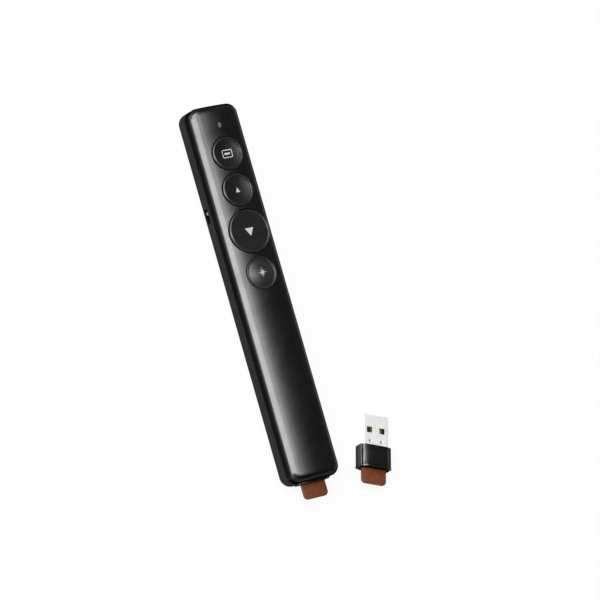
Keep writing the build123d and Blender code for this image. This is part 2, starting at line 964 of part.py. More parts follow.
def across(base, y):
    """A plane across a receiver at y along its plug. It faces the pull tab."""
    return Plane(base.from_local_coords((0, y, 0)), x_dir=base.x_dir, z_dir=-base.y_dir)


def plug_shell(base):
    with BuildPart() as shell:
        with BuildSketch(across(base, -plug_buried)):
            RectangleRounded(plug_width, plug_thickness, plug_corner)
            RectangleRounded(
                plug_width - 2 * plug_wall,
                plug_thickness - 2 * plug_wall,
                plug_corner - plug_wall,
                mode=Mode.SUBTRACT,
            )
        extrude(amount=-(plug_buried + plug_exposed))
        with BuildSketch(base):
            with Locations((0, plug_exposed - window_from_tip)):
                with GridLocations(2 * window_offset, 0, 2, 1):
                    Rectangle(window_size, window_size)
        extrude(amount=plug_thickness, both=True, mode=Mode.SUBTRACT)
    return shell.part


def tongue(base):
    inner_floor = plug_wall - plug_thickness / 2
    with BuildPart() as block:
        with BuildSketch(across(base, -plug_buried)):
            with Locations((0, inner_floor)):
                RectangleRounded(
                    plug_width - 2 * (plug_wall + tongue_side_gap),
                    tongue_thickness,
                    plug_corner - plug_wall,
                    align=(Align.CENTER, Align.MIN),
                )
        extrude(amount=-(plug_buried + plug_exposed - tongue_recess))
    return block.part


def contacts(base):
    face = plug_wall - plug_thickness / 2 + tongue_thickness
    pad_tip_y = plug_exposed - tongue_recess - pad_tip_inset
    pad_length = pad_tip_y + plug_buried + pad_tail
    with BuildPart() as pads:
        with BuildSketch(base.offset(face)):
            with Locations((0, pad_tip_y - pad_length / 2)):
                with GridLocations(2 * pad_outer_offset, 0, 2, 1):
                    Rectangle(pad_width, pad_length)
                with GridLocations(2 * pad_inner_offset, 0, 2, 1):
                    Rectangle(pad_width, pad_length)
        extrude(amount=pad_height)
    return pads.part


def receiver_board(base):
    face = plug_wall - plug_thickness / 2 + tongue_thickness
    with BuildPart() as board:
        with BuildSketch(base.offset(face)):
            with Locations((0, -plug_buried)):
                Rectangle(
                    receiver_board_width, receiver_board_length, align=(Align.CENTER, Align.MAX)
                )
        extrude(amount=-receiver_board_thickness)
    return board.part


def receiver_chip(base):
    face = plug_wall - plug_thickness / 2 + tongue_thickness
    chip_y = -plug_buried - pad_tail - receiver_chip_gap
    chip_length = receiver_board_length - pad_tail - 2 * receiver_chip_gap
    with BuildPart() as chip:
        with BuildSketch(base.offset(face)):
            with Locations((0, chip_y)):
                Rectangle(receiver_chip_width, chip_length, align=(Align.CENTER, Align.MAX))
        extrude(amount=receiver_chip_height)
    return chip.part


def receiver_housing(base):
    plug_grooves, tab_grooves = groove_counts
    groove_rows = (
        (plug_grooves, -groove_pitch * (plug_grooves + 1) / 2),
        (tab_grooves, flange_length - housing_length + groove_pitch * (tab_grooves + 1) / 2),
    )
    with BuildPart() as housing:
        with BuildSketch(across(base, 0)):
            RectangleRounded(housing_face_width, housing_thickness, housing_face_round)
            Rectangle(housing_width, housing_flank_thickness)
        extrude(amount=housing_length)
        with BuildSketch(across(base, flange_length - housing_length)):
            RectangleRounded(flange_width, flange_thickness, flange_round)
        extrude(amount=flange_length)
        for count, row_y in groove_rows:
            for face in (1, -1):
                with BuildSketch(base.offset(face * housing_thickness / 2)):
                    with Locations((0, row_y)):
                        with GridLocations(0, groove_pitch, 1, count):
                            Rectangle(housing_face_width, groove_width)
                extrude(amount=-face * groove_depth, mode=Mode.SUBTRACT)
        with BuildSketch(across(base, 0)):
            RectangleRounded(
                plug_width + 2 * running_gap, plug_thickness + 2 * running_gap, plug_corner + running_gap
            )
        extrude(amount=housing_length - housing_end_wall, mode=Mode.SUBTRACT)
        with BuildSketch(across(base, -housing_length)):
            Rectangle(tab_width + 2 * tab_slot_gap, tab_thickness + 2 * tab_slot_gap)
        extrude(amount=-(tab_buried + tab_slot_gap), mode=Mode.SUBTRACT)
    return housing.part


def pull_tab(base):
    with BuildPart() as tab:
        with BuildSketch(base.offset(-tab_thickness / 2)) as plan:
            with Locations((0, tab_buried - housing_length)):
                Rectangle(tab_width, tab_buried + tab_exposed, align=(Align.CENTER, Align.MAX))
            fillet(plan.vertices().group_by(Axis(base.origin, base.y_dir))[0], tab_corner)
        extrude(amount=tab_thickness)
    return tab.part


def save_receiver(name, base):
    """Builds one receiver. Base lies at the plug's root: X across, Y out of the plug, Z up."""
    save(plug_shell(base), f"{name}_plug_shell")
    save(tongue(base), f"{name}_plug_tongue")
    save(contacts(base), f"{name}_plug_contacts")
    save(receiver_board(base), f"{name}_circuit_board")
    save(receiver_chip(base), f"{name}_radio_chip")
    save(receiver_housing(base), f"{name}_housing")
    save(pull_tab(base), f"{name}_pull_tab")


def resting_base():
    """The loose receiver's base: it rests on its housing's edge and on the tip of its plug."""
    lean = atan2((housing_thickness - plug_thickness) / 2, plug_exposed)
    turn = radians(loose_turn)
    origin = (loose_x, -end_y + loose_from_low_end, housing_thickness / 2 * cos(lean))
    face = (-sin(turn) * sin(lean), cos(turn) * sin(lean), cos(lean))
    return Plane(origin, x_dir=(cos(turn), sin(turn), 0), z_dir=face)


# ---------------------------------------------------------------- all pieces

save(front_cover(), "front_cover")
save(back_shell(), "back_shell")
save(battery_door(), "battery_door")

save(keycap(*key_sizes["screen"], small_key_top, "dish"), "screen_keycap")
save(keycap(*key_sizes["page_up"], small_key_top, "dish"), "page_up_keycap")
save(keycap(*key_sizes["page_down"], page_down_top, "flat"), "page_down_keycap")
save(keycap(*key_sizes["laser"], laser_key_top, "dome"), "laser_keycap")
for key_name, (key_y, key_radius) in key_sizes.items():
    save(switch_plunger(key_y), f"{key_name}_switch_plunger")
save(switch_bodies(), "switch_bodies")

save(main_board(), "main_board")
chip_row_x = board_width / 2 - chip_row_inset
chip_row_y = end_y - chip_row_from_end
save(board_block(chip_size, [(-chip_row_x, chip_row_y)]), "radio_chip")
save(board_block(crystal_size, [(chip_row_x, chip_row_y)]), "crystal")
save(board_block(led_size, [(0, led_y)]), "status_led")
save(board_passives(), "board_passives")

save(screws(board_screw_places, board_top, -1, board_screw_grip), "board_screws")
case_screw_seat = channel_roof + case_screw_recess + screw_head_height
save(screws(post_places, case_screw_seat, 1, case_screw_grip), "case_screws")

save(light_pipe(), "light_pipe")
save(laser_barrel(), "laser_barrel")
save(laser_lens(), "laser_lens")
save(laser_diode(), "laser_diode")
save(laser_bezel(), "laser_bezel")

save(power_switch_body(), "power_switch_body")
save(power_knob(), "power_knob")

save(battery_can(), "battery_can")
save(battery_cap(), "battery_cap")
save(contact_spring(), "contact_spring")
save(negative_contact(), "negative_contact")
save(positive_contact(), "positive_contact")

docked_base = Plane((0, plug_base_y, bay_height), x_dir=(1, 0, 0), z_dir=(0, 0, 1))
save_receiver("docked", docked_base)
save_receiver("loose", resting_base())
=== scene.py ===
import json
import math

import bmesh
import bpy
from mathutils import Matrix, Vector


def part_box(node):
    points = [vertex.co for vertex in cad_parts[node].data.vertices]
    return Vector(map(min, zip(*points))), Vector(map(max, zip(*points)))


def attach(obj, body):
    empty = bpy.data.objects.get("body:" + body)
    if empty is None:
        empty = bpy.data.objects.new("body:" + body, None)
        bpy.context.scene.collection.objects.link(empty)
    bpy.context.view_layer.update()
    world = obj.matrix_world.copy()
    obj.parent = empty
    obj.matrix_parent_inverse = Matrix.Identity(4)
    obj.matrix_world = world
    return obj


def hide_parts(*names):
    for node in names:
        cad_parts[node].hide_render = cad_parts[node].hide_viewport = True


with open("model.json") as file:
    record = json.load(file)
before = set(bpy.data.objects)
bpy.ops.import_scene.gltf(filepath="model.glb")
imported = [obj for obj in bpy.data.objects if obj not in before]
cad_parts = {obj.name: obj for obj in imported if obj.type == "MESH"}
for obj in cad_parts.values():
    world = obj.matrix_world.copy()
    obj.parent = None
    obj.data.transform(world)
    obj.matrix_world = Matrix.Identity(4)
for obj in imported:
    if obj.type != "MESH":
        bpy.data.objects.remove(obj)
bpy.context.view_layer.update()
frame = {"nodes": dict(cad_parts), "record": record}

nodes = frame["nodes"]
mm = 0.001

# ------------------------------------------------------------------ camera

# It looks at the front from the left side and a little from the lower end. Across and along are the
# picture's level and upright directions for an upright clicker, and up is turned by the clicker's
# lean. The picture's middle is given along these two in millimetres, and its width in metres.
lens = 250.0
sensor_width = 36.0
view_width = 0.2419
middle_across = 19.19
middle_along = -6.25
middle_height = 0.010
to_camera = Vector((-0.5115, -0.1167, 0.8513)).normalized()
across = Vector((0.8572, 0.0, 0.5150))
along = Vector((-0.0601, 0.9932, 0.1000))
up = (0.2765 * across + 0.9610 * along).normalized()
right = up.cross(to_camera).normalized()
up = to_camera.cross(right)
target = (middle_across * across + middle_along * along) * mm + to_camera * middle_height
camera_data = bpy.data.cameras.new("camera")
camera_data.lens = lens
camera_data.sensor_width = sensor_width
camera_data.clip_start = 0.01
camera_data.clip_end = 20.0
camera = bpy.data.objects.new("camera", camera_data)
bpy.context.scene.collection.objects.link(camera)
camera.matrix_world = Matrix(
    (
        (right.x, up.x, to_camera.x, 0),
        (right.y, up.y, to_camera.y, 0),
        (right.z, up.z, to_camera.z, 0),
        (0, 0, 0, 1),
    )
)
camera.location = target + to_camera * (view_width * lens / sensor_width)
bpy.context.scene.camera = camera
bpy.context.scene.view_settings.view_transform = "Standard"


# ------------------------------------------------------------------ materials

# Every look made below, by its name.
looks = {}

# Painted shade on the cover's side walls and both ends: the colour fades down to a darker shade tone
# between these two values of the normal's part along X, for the side walls, and along Y, for both
# ends. The clouds get this share of the colour ramp.
painted_shade_spans = (("X", 0.82, 0.97), ("Y", 0.2, 0.5))
cloud_share = 0.4


class Look:
    """Builds one procedural material around a Principled shader. Lengths are in metres."""

    def __init__(self, name):
        self.material = bpy.data.materials.new(name)
        self.material.use_nodes = True
        looks[name] = self.material
        self.tree = self.material.node_tree
        self.shader = self.tree.nodes["Principled BSDF"]
        coordinates = self.node("ShaderNodeTexCoord")
        self.place = coordinates.outputs["Object"]
        self.facing = coordinates.outputs["Normal"]

    def node(self, kind, **settings):
        made = self.tree.nodes.new(kind)
        for key, value in settings.items():
            if hasattr(made, key):
                setattr(made, key, value)
            else:
                made.inputs[key.replace("_", " ")].default_value = value
        return made

    def link(self, source, target):
        self.tree.links.new(source, target)

    def set(self, **values):
        for key, value in values.items():
            self.shader.inputs[key.replace("_", " ")].default_value = value
        return self

    def noise(self, size, detail=2.0, stretch=None, roughness=0.5):
        made = self.node("ShaderNodeTexNoise", Scale=1.0 / size, Detail=detail, Roughness=roughness)
        place = self.place
        if stretch:
            scaled = self.node("ShaderNodeVectorMath", operation="MULTIPLY")
            scaled.inputs[1].default_value = stretch
            self.link(place, scaled.inputs[0])
            place = scaled.outputs[0]
        self.link(place, made.inputs["Vector"])
        return made.outputs["Fac"]

    def ramp(self, source, stops):
        made = self.node("ShaderNodeValToRGB")
        ramp = made.color_ramp
        while len(ramp.elements) < len(stops):
            ramp.elements.new(0.5)
        for element, (place, colour) in zip(ramp.elements, stops):
            element.position = place
            element.color = (*colour, 1)
        self.link(source, made.inputs["Fac"])
        return made.outputs["Color"]

    def span(self, source, low, high, start=0.3, end=0.7):
        made = self.node("ShaderNodeMapRange")
        made.inputs["From Min"].default_value = start
        made.inputs["From Max"].default_value = end
        made.inputs["To Min"].default_value = low
        made.inputs["To Max"].default_value = high
        self.link(source, made.inputs["Value"])
        return made.outputs["Result"]

    def colour(self, source, stops):
        self.link(self.ramp(source, stops), self.shader.inputs["Base Color"])

    def rough(self, source, low, high):
        self.link(self.span(source, low, high), self.shader.inputs["Roughness"])

    def bump(self, *layers):
        """Each layer is (height source, depth in metres)."""
        normal = None
        for source, depth in layers:
            made = self.node("ShaderNodeBump")
            made.inputs["Strength"].default_value = 1.0
            made.inputs["Distance"].default_value = depth
            self.link(source, made.inputs["Height"])
            if normal:
                self.link(normal, made.inputs["Normal"])
            normal = made.outputs["Normal"]
        self.link(normal, self.shader.inputs["Normal"])


def plastic(name, dark, light, low, high, specular=0.5):
    """Dark and light are the colour's ends, low and high those of its roughness."""
    look = Look(name).set(Specular_IOR_Level=specular, IOR=1.5)
    cloud = look.noise(0.012, 3.0)
    fine = look.noise(0.00022, 2.0)
    look.colour(cloud, [(0.35, dark), (0.65, light)])
    look.rough(look.noise(0.004, 4.0), low, high)
    look.bump((fine, 0.000003))


def metal(name, dark, light, low, high, metallic=1.0):
    look = Look(name).set(Metallic=metallic)
    look.colour(look.noise(0.003, 3.0), [(0.3, dark), (0.7, light)])
    look.rough(look.noise(0.001, 3.0), low, high)
    look.bump((look.noise(0.0002, 2.0), 0.000001))


def lacquer(name, dark, light, low, high, edge, grain=0.00018, depth=0.0000015, shade_tone=None):
    """Black lacquer with fine metal in it: satin, and dimmer towards grazing.

    Edge is what it still reflects at grazing. A shade tone, if given, is painted shade: faces turned
    to the sides and ends take this darker colour.
    """
    look = Look(name).set(Metallic=1.0)
    look.shader.inputs["Specular Tint"].default_value = (edge, edge, edge, 1)
    cloud = look.noise(0.012, 3.0)
    stops = [(0.35, dark), (0.65, light)]
    # Painted shade: where the normal turns towards X or Y, the colour ramp runs down to the shade
    # tone.
    if shade_tone:
        axes = look.node("ShaderNodeSeparateXYZ")
        look.link(look.facing, axes.inputs[0])
        unshaded_share = look.node("ShaderNodeMath", operation="MINIMUM")
        for slot, (axis, start, end) in enumerate(painted_shade_spans):
            reach = look.node("ShaderNodeMath", operation="ABSOLUTE")
            look.link(axes.outputs[axis], reach.inputs[0])
            unshaded_level = look.span(reach.outputs[0], 1 - cloud_share, 0.0, start, end)
            look.link(unshaded_level, unshaded_share.inputs[slot])
        mixed = look.node("ShaderNodeMath", operation="MULTIPLY_ADD")
        look.link(cloud, mixed.inputs[0])
        mixed.inputs[1].default_value = cloud_share
        look.link(unshaded_share.outputs[0], mixed.inputs[2])
        cloud = mixed.outputs[0]
        stops = [(0.14, grey(shade_tone)), (0.26, grey(shade_tone * 1.15)), (0.74, dark), (0.86, light)]
    look.colour(cloud, stops)
    look.rough(look.noise(0.004, 4.0), low, high)
    look.bump((look.noise(grain, 2.0), depth))


def grey(value, tint=0.0):
    return (value, value, value * (1 + tint))


# The cover's side walls and ends are darkened by a painted shade tone.
lacquer("cover_plastic", grey(0.1), grey(0.115), 0.29, 0.32, 0.02, shade_tone=0.031)
lacquer("shell_plastic", grey(0.039), grey(0.046, 0.04), 0.42, 0.5, 0.4, 0.00035, 0.000008)
plastic("key_plastic", grey(0.003), grey(0.005, 0.04), 0.3, 0.36, 0.85)
plastic("indicator_plastic", grey(0.10), grey(0.16), 0.2, 0.3)
lacquer("housing_plastic", grey(0.1), grey(0.12), 0.28, 0.33, 0.02)
plastic("tongue_plastic", grey(0.008), grey(0.014), 0.4, 0.5)
plastic("board_green", (0.01, 0.07, 0.03), (0.02, 0.1, 0.045), 0.25, 0.4)
plastic("chip_black", grey(0.012), grey(0.02), 0.5, 0.65)
plastic("switch_black", grey(0.015), grey(0.025), 0.5, 0.6)
plastic("plunger_white", grey(0.6), grey(0.68), 0.4, 0.5)
plastic("ceramic_tan", (0.36, 0.24, 0.12), (0.5, 0.36, 0.2), 0.5, 0.6)
plastic("led_white", (0.7, 0.66, 0.4), (0.8, 0.78, 0.55), 0.2, 0.3)
plastic("bezel_black", grey(0.006), grey(0.01), 0.16, 0.24)
plastic("cell_jacket", grey(0.02), grey(0.03), 0.25, 0.35)
metal("plug_steel", grey(0.92), grey(0.98), 0.46, 0.56, 0.5)
metal("contact_gold", (0.85, 0.66, 0.22), (0.95, 0.78, 0.34), 0.2, 0.3)
metal("bright_metal", grey(0.6), grey(0.72), 0.25, 0.35)
metal("screw_steel", grey(0.35), grey(0.45), 0.3, 0.4)
metal("cell_steel", grey(0.55), grey(0.66), 0.25, 0.35)
metal("laser_brass", (0.55, 0.38, 0.14), (0.7, 0.5, 0.22), 0.25, 0.35)

glass = Look("lens_glass").set(Transmission_Weight=0.9, IOR=1.5)
glass.colour(glass.noise(0.002), [(0.3, (0.85, 0.9, 0.92)), (0.7, (0.9, 0.94, 0.95))])
glass.rough(glass.noise(0.001), 0.02, 0.06)

leather = Look("leather").set(Specular_IOR_Level=0.18)
pores = leather.node("ShaderNodeTexVoronoi", feature="F1", Scale=1.0 / 0.00042)
leather.link(leather.place, pores.inputs["Vector"])
grain = leather.noise(0.0009, 6.0, roughness=0.65)
leather.colour(
    leather.noise(0.0028, 5.0, roughness=0.6),
    [(0.25, (0.106, 0.028, 0.010)), (0.5, (0.146, 0.042, 0.016)), (0.75, (0.186, 0.060, 0.025))],
)
leather.rough(grain, 0.5, 0.68)
leather.bump((grain, 0.00009), (pores.outputs["Distance"], 0.00003))

leather_edge = Look("leather_edge").set(Specular_IOR_Level=0.4)
fibres = leather_edge.noise(0.0005, 4.0, stretch=(1, 1, 2.5), roughness=0.6)
leather_edge.colour(fibres, [(0.3, (0.06, 0.03, 0.02)), (0.7, (0.1, 0.055, 0.04))])
leather_edge.rough(fibres, 0.45, 0.6)
leather_edge.bump((fibres, 0.00004))

print_white = Look("print_white").set(Specular_IOR_Level=0.3)
print_white.colour(print_white.noise(0.0006, 3.0), [(0.3, grey(0.42)), (0.7, grey(0.50))])
print_white.rough(print_white.noise(0.0004), 0.4, 0.55)

plastic("dome_black", grey(0.003), grey(0.005, 0.04), 0.41, 0.46, 1.0)
# The knob's faces that turn to the sides and ends, its thumb rest among them, are darkened by a
# painted shade tone.
lacquer("knob_black", grey(0.06), grey(0.075), 0.3, 0.36, 0.02, shade_tone=0.01)

slots = {s["node"]: s["material_slot"] for s in frame["record"]["subparts"]}
for name, node in nodes.items():
    node.data.materials.clear()
    node.data.materials.append(looks[slots[name]])


# ------------------------------------------------------------------ pieces


def finish_mesh(name, shape, smooth_angle):
    """Turns a bmesh in millimetres into a smooth shaded mesh in metres."""
    bmesh.ops.scale(shape, vec=(mm, mm, mm), verts=shape.verts)
    bmesh.ops.recalc_face_normals(shape, faces=shape.faces)
    mesh = bpy.data.meshes.new(name)
    shape.to_mesh(mesh)
    shape.free()
    mesh.shade_smooth()
    mesh.set_sharp_from_angle(angle=math.radians(smooth_angle))
    return mesh


def piece(name, shape, body, look, replaced=(), smooth_angle=40):
    """One visual piece that rides a body and may stand in for CAD nodes."""
    made = bpy.data.objects.new(name, finish_mesh(name, shape, smooth_angle))
    bpy.context.scene.collection.objects.link(made)
    made.data.materials.append(looks[look])
    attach(made, body)
    if replaced:
        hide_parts(*replaced)


def ring_stack(shape, rings, closed_ends=True):
    """Joins rings of equally many points into one skin, with a face at both ends if asked."""
    loops = [[shape.verts.new(point) for point in ring] for ring in rings]
    for low, high in zip(loops, loops[1:]):
        for i in range(len(low)):
            j = (i + 1) % len(low)
            shape.faces.new((low[i], low[j], high[j], high[i]))
    if closed_ends:
        shape.faces.new(list(reversed(loops[0])))
        shape.faces.new(loops[-1])
    return loops


def lathe(shape, profile, centre, steps=112):
    """Revolves (radius, height) pairs about a vertical axis. The first and last lie on the axis."""
    rings = []
    for radius, height in profile[1:-1]:
        ring = []
        for i in range(steps):
            turn = 2 * math.pi * i / steps
            x = centre[0] + radius * math.cos(turn)
            ring.append((x, centre[1] + radius * math.sin(turn), height))
        rings.append(ring)
    loops = ring_stack(shape, rings, closed_ends=False)
    for loop, (radius, height) in ((loops[0], profile[0]), (loops[-1], profile[-1])):
        tip = shape.verts.new((*centre, height))
        for i in range(steps):
            shape.faces.new((tip, loop[i], loop[(i + 1) % steps]))


def block(shape, low, high):
    """A closed box between two corners."""
    bmesh.ops.create_cube(
        shape,
        size=1.0,
        matrix=Matrix.Translation([(a + b) / 2 for a, b in zip(low, high)])
        @ Matrix.Diagonal([b - a for a, b in zip(low, high)] + [1.0]),
    )


def arc(centre, radius_across, radius_up, start, end, count):
    """Points on an ellipse, with angles in degrees from its right end."""
    points = []
    for i in range(count + 1):
        turn = math.radians(start + (end - start) * i / count)
        x = centre[0] + radius_across * math.cos(turn)
        points.append((x, centre[1] + radius_up * math.sin(turn)))
    return points


# Keys: the cap's face is drawn as radius and height, and the same rule places its symbol.
# These and all lengths below are in millimetres.

screen_y = 57.7
page_up_y = 42.3
page_down_y = 24.8
laser_y = 7.2
dish_middle = 14.08
dish_radius = 30.0
flat_face = 14.45
dome_top = 15.2
dome_radius = 14.6
ear_half_width = 2.4
ear_thickness = 0.9
ear_root = 0.4
cap_wall = 1.0
post_half_width = 1.5
plunger_top = 10.11
bead_share = 0.3
overlap = 0.1


def dish_height(radius):
    return dish_middle + dish_radius - math.sqrt(dish_radius**2 - radius**2)


def flat_height(radius):
    return flat_face


def dome_height(radius):
    return dome_top - dome_radius + math.sqrt(dome_radius**2 - radius**2)


def bead(inner, outer, foot, crest, flank):
    """The cap's rim: rises from foot to crest and rolls over into the side."""
    across = (outer - inner) * bead_share
    points = arc((inner + across, foot), across, crest - foot, 180, 90, 5)
    return points + arc((inner + across, crest - flank), outer - inner - across, flank, 90, 0, 8)[1:]


def key_piece(key, centre_y, face, rim, outer, skirt, plate, ear, look="key_plastic"):
    """One key cap with its two ears and the post that meets the switch.

    Outer is the cap's radius, skirt its lower edge, plate the underside of its face and ear the reach
    of its ears from the middle.
    """
    shape = bmesh.new()
    inner = outer - cap_wall
    under = [(outer, skirt), (inner, skirt), (inner, plate), (0, plate)]
    lathe(shape, face + rim + under, (0, centre_y))
    root = outer - ear_root
    ear_low = skirt + 0.001
    ear_high = skirt + ear_thickness
    near = centre_y - ear_half_width
    far = centre_y + ear_half_width
    block(shape, (root, near, ear_low), (ear, far, ear_high))
    block(shape, (-ear, near, ear_low), (-root, far, ear_high))
    block(
        shape,
        (-post_half_width, centre_y - post_half_width, plunger_top),
        (post_half_width, centre_y + post_half_width, plate + overlap),
    )
    piece(f"{key}_cap", shape, f"{key}_key", look, [f"{key}_keycap"], 30)


def face_points(rule, reach, count=14):
    radii = [0.0] + [reach * i / count for i in range(1, count + 1)]
    return [(radius, rule(radius)) for radius in radii]


dish_reach = 5.85
dish_outer = 6.86
for key, centre_y in (("screen", screen_y), ("page_up", page_up_y)):
    key_piece(
        key,
        centre_y,
        face_points(dish_height, dish_reach),
        bead(dish_reach, dish_outer, dish_height(dish_reach), crest=14.95, flank=0.5),
        outer=dish_outer,
        skirt=11.424,
        plate=12.95,
        ear=7.44,
    )
flat_reach = 8.15
flat_outer = 9.11
key_piece(
    "page_down",
    page_down_y,
    face_points(flat_height, flat_reach, 6),
    bead(flat_reach, flat_outer, flat_face, crest=14.75, flank=0.6),
    outer=flat_outer,
    skirt=10.211,
    plate=13.15,
    ear=9.69,
)
dome_reach = 5.8
moat = [(5.9, 14.0), (6.05, 14.06), (6.2, 14.4), (6.26, 14.55)]
key_piece(
    "laser",
    laser_y,
    face_points(dome_height, dome_reach) + moat,
    arc((6.46, 14.42), 0.24, 0.26, 145, 0, 9),
    outer=6.7,
    skirt=11.463,
    plate=13.1,
    ear=7.24,
    look="dome_black",
)


# How far a printed symbol stands over and reaches under the key's face.
print_rise = 0.03
print_depth = 0.02


def symbol(name, centre_y, loops, rule, body):
    """A thin print that follows the key's face. Each loop is a filled outline round the centre."""
    shape = bmesh.new()
    for loop in loops:
        flat = bmesh.new()
        flat.faces.new([flat.verts.new((x, y, 0)) for x, y in loop])
        bmesh.ops.triangulate(flat, faces=flat.faces)
        bmesh.ops.subdivide_edges(flat, edges=flat.edges, cuts=2, use_grid_fill=True)
        bmesh.ops.triangulate(flat, faces=flat.faces)
        flat.normal_update()
        top = {}
        under = {}
        for vert in flat.verts:
            x, y = vert.co.x, vert.co.y
            height = rule(math.hypot(x, y))
            top[vert.index] = shape.verts.new((x, y + centre_y, height + print_rise))
            under[vert.index] = shape.verts.new((x, y + centre_y, height - print_depth))
        for face in flat.faces:
            corners = [vert.index for vert in face.verts]
            shape.faces.new([top[i] for i in corners])
            shape.faces.new([under[i] for i in reversed(corners)])
        for edge in flat.edges:
            if edge.is_boundary:
                i, j = (vert.index for vert in edge.verts)
                shape.faces.new((top[i], top[j], under[j], under[i]))
        flat.free()
    piece(name, shape, body, "print_white")


def bar(x_low, y_low, x_high, y_high):
    return [(x_low, y_low), (x_high, y_low), (x_high, y_high), (x_low, y_high)]


screen_frame = [
    bar(-2.0, 1.35, 2.0, 1.7),
    bar(-2.0, -1.7, 2.0, -1.35),
    [(-2.35, -1.3), (-2.0, -1.7), (-2.0, -1.3), (-2.0, 1.3), (-2.0, 1.7), (-2.35, 1.3)],
    [(2.35, -1.3), (2.35, 1.3), (2.0, 1.7), (2.0, 1.3), (2.0, -1.3), (2.0, -1.7)],
    bar(-1.3, -0.42, 1.3, 0.42),
]
symbol("screen_symbol", screen_y, screen_frame, dish_height, "screen_key")
up_triangle = [(-0.95, -0.9), (0.95, -0.9), (0, 1.15)]
symbol("up_symbol", page_up_y, [up_triangle], dish_height, "page_up_key")
down_triangle = [(-1.95, 1.35), (0, -2.0), (1.95, 1.35)]
symbol("down_symbol", page_down_y, [down_triangle], flat_height, "page_down_key")

# The burst: a middle with eight corners and eight rays, every other one shorter.
spark = [arc((0, 0), 0.5, 0.5, 22.5, 337.5, 7)]
for ray in range(8):
    reach = 2.0 if ray % 2 == 0 else 1.5
    turn = math.radians(45 * ray)
    ray_points = ((0.46, -0.16), (reach, -0.06), (reach, 0.06), (0.46, 0.16))
    spark.append(
        [
            (x * math.cos(turn) - y * math.sin(turn), x * math.sin(turn) + y * math.cos(turn))
            for x, y in ray_points
        ]
    )
symbol("laser_symbol", laser_y, spark, dome_height, "laser_key")


# Power switch: a thin plate in the side recess, a rounded thumb rest on it and a stem behind it.

rest_height = 0.85
rest_half_y = 1.15
rest_half_z = 0.95
rest_corner = 0.6
rest_rings = 9
plate_thickness = 0.5
stem_half_y = 0.8
stem_half_z = 0.5


def rounded(half_x, half_y, radius):
    """A rounded rectangle as a loop of points, counterclockwise from its right side."""
    steps = 6
    points = []
    for sign_x, sign_y, start in ((1, 1, 0), (-1, 1, 90), (-1, -1, 180), (1, -1, 270)):
        for i in range(steps + 1):
            turn = math.radians(start + 90 * i / steps)
            points.append(
                (
                    sign_x * (half_x - radius) + radius * math.cos(turn),
                    sign_y * (half_y - radius) + radius * math.sin(turn),
                )
            )
    return points


def knob(low, high):
    """Low and high are the corners of the CAD knob's box. Its thumb rest looks to -X."""
    middle_y = (low.y + high.y) / 2
    middle_z = (low.z + high.z) / 2
    plate_face = low.x + rest_height
    shape = bmesh.new()
    block(shape, (plate_face, low.y, low.z), (plate_face + plate_thickness, high.y, high.z))
    block(
        shape,
        (plate_face + plate_thickness - overlap, middle_y - stem_half_y, middle_z - stem_half_z),
        (high.x, middle_y + stem_half_y, middle_z + stem_half_z),
    )
    root = rounded(rest_half_y, rest_half_z, rest_corner)
    rings = [[(plate_face + overlap, middle_y + y, middle_z + z) for y, z in root]]
    for i in range(rest_rings):
        turn = math.pi / 2 * i / rest_rings
        spread = math.cos(turn)
        x = plate_face - (plate_face - low.x) * math.sin(turn)
        outline = rounded(rest_half_y * spread, rest_half_z * spread, rest_corner * spread)
        rings.append([(x, middle_y + y, middle_z + z) for y, z in outline])
    ring_stack(shape, rings)
    return shape


knob_corners = [Vector(corner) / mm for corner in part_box("power_knob")]
piece("power_knob_cap", knob(*knob_corners), "power_slider", "knob_black", ["power_knob"], 50)

# Receivers. Their own frame lies at the plug's root: X across, Y out of the plug, Z up.

plug_half_width = 6.0
plug_half_height = 2.25
plug_length = 13.1
plug_corner = 0.7
plug_sheet = 0.3
tip_start = 12.7
tip_slope = 0.35
window_inner = 1.65
window_outer = 4.15
window_low = 5.35
window_high = 7.85
dimple_x = 2.6
dimple_y = 1.8
dimple_radius = 0.6
dimple_depth = 0.24
housing_half_height = 3.3
pillow_half_width = 6.15
shoulder_x = 3.3
shoulder_z = 2.2
flank_half_width = 6.95
flank_corner = 0.25
flank_growth = 0.35
groove_half_top = 0.2
groove_half_floor = 0.14
groove_depth = 0.17
groove_middles = (-0.75, -1.5, -2.25, -7.475, -8.225)
tab_half_width = 5.6
tab_root = -8.66
tab_end = -15.9
tab_corner = 1.8


def receiver_frame(origin, turn, lean):
    """Turn is about the vertical, lean is the plug's tilt down to its tip."""
    level = math.cos(lean)
    y_axis = Vector((-math.sin(turn) * level, math.cos(turn) * level, -math.sin(lean)))
    x_axis = Vector((math.cos(turn), math.sin(turn), 0))
    z_axis = x_axis.cross(y_axis)
    return Matrix(
        (
            (x_axis.x, y_axis.x, z_axis.x, origin[0]),
            (x_axis.y, y_axis.y, z_axis.y, origin[1]),
            (x_axis.z, y_axis.z, z_axis.z, origin[2]),
            (0, 0, 0, 1),
        )
    )


def placed(shape, frame_matrix):
    bmesh.ops.transform(shape, matrix=frame_matrix, verts=shape.verts)
    return shape


def tab_outline(inset):
    """The pull tab seen from above: square where it enters the housing, round at its far corners."""
    half = tab_half_width - inset
    far = tab_end + inset
    radius = tab_corner - inset
    loop = [(half, tab_root), (-half, tab_root)]
    loop += arc((radius - half, far + radius), radius, radius, 180, 270, 8)
    return loop + arc((half - radius, far + radius), radius, radius, 270, 360, 8)


def slab(frame_matrix, levels):
    """A flat piece with the tab's outline, from (height, inset) levels."""
    shape = bmesh.new()
    ring_stack(shape, [[(x, y, z) for x, y in tab_outline(inset)] for z, inset in levels])
    return placed(shape, frame_matrix)


